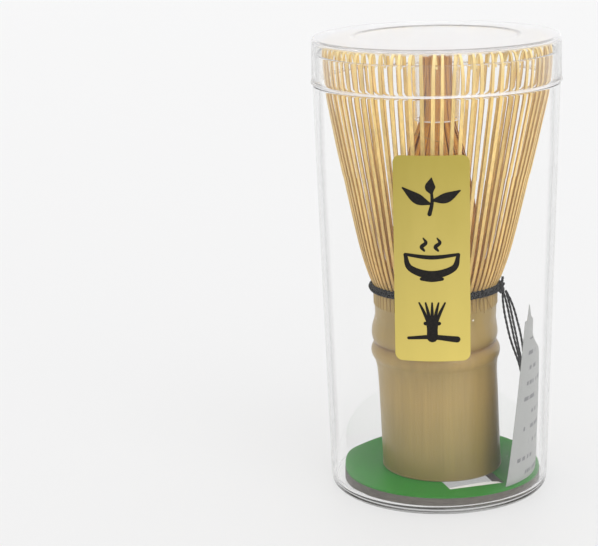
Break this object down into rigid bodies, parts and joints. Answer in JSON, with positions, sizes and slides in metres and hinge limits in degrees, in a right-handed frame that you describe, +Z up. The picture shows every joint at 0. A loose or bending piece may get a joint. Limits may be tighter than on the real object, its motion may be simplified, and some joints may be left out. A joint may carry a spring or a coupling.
{
  "type": "bamboo tea whisk in a clear case",
  "caption": "Bamboo tea whisk with flared, hooked tines, dark lacing and a ridged handle, standing in a clear round case with a push-on lid.",
  "frame": {"origin": "centre of the underside of the case", "axes": "+Z up along the axis of the whisk and its case; the label faces -Y"},
  "size_m": [0.0606, 0.0606, 0.1123],
  "materials": {
    "clear_case": "clear, glossy moulded plastic",
    "clear_film": "clear, slightly hazy film",
    "gold_foil": null,
    "board": "matte grey-brown board",
    "green_card": "smooth green card, a little glossy",
    "paper": "matte printing paper",
    "culm": "satin bamboo skin, smoked tan",
    "outer_tine": "split and shaved bamboo, pale straw",
    "inner_tine": "split and shaved bamboo, golden",
    "thread": "twisted black cotton thread"
  },
  "bodies": {
    "case": {"case_tube": "clear_case", "case_label": "gold_foil", "card_board": "board", "card_facing": "green_card", "leaflet": "paper"},
    "whisk": {"handle": "culm", "outer_tines_1": "outer_tine", "outer_tines_2": "outer_tine", "outer_tines_3": "outer_tine", "outer_tines_4": "outer_tine", "outer_tines_5": "outer_tine", "outer_tines_6": "outer_tine", "outer_tines_7": "outer_tine", "outer_tines_8": "outer_tine", "outer_tines_9": "outer_tine", "outer_tines_10": "outer_tine", "outer_tines_11": "outer_tine", "outer_tines_12": "outer_tine", "inner_tines_1": "inner_tine", "inner_tines_2": "inner_tine", "inner_tines_3": "inner_tine", "inner_tines_4": "inner_tine", "inner_tines_5": "inner_tine", "inner_tines_6": "inner_tine", "inner_tines_7": "inner_tine", "inner_tines_8": "inner_tine", "inner_tines_9": "inner_tine", "inner_tines_10": "inner_tine", "inner_tines_11": "inner_tine", "inner_tines_12": "inner_tine", "lacing_outer": "thread", "lacing_inner": "thread", "thread_knot": "thread", "thread_tail_1": "thread", "thread_tail_2": "thread", "thread_tail_3": "thread", "thread_tail_4": "thread"},
    "sleeve": {"tip_sleeve": "clear_film"},
    "lid": {"lid": "clear_case"}
  },
  "joints": [
    {"name": "whisk_lift", "type": "slide", "parent": "case", "child": "whisk", "axis": [0, 0, 1], "range_m": [0, 0.11]},
    {"name": "sleeve_slide", "type": "slide", "parent": "whisk", "child": "sleeve", "axis": [0, 0, 1], "range_m": [0, 0.025]},
    {"name": "lid_lift", "type": "slide", "parent": "sleeve", "child": "lid", "axis": [0, 0, 1], "range_m": [0, 0.03]}
  ]
}
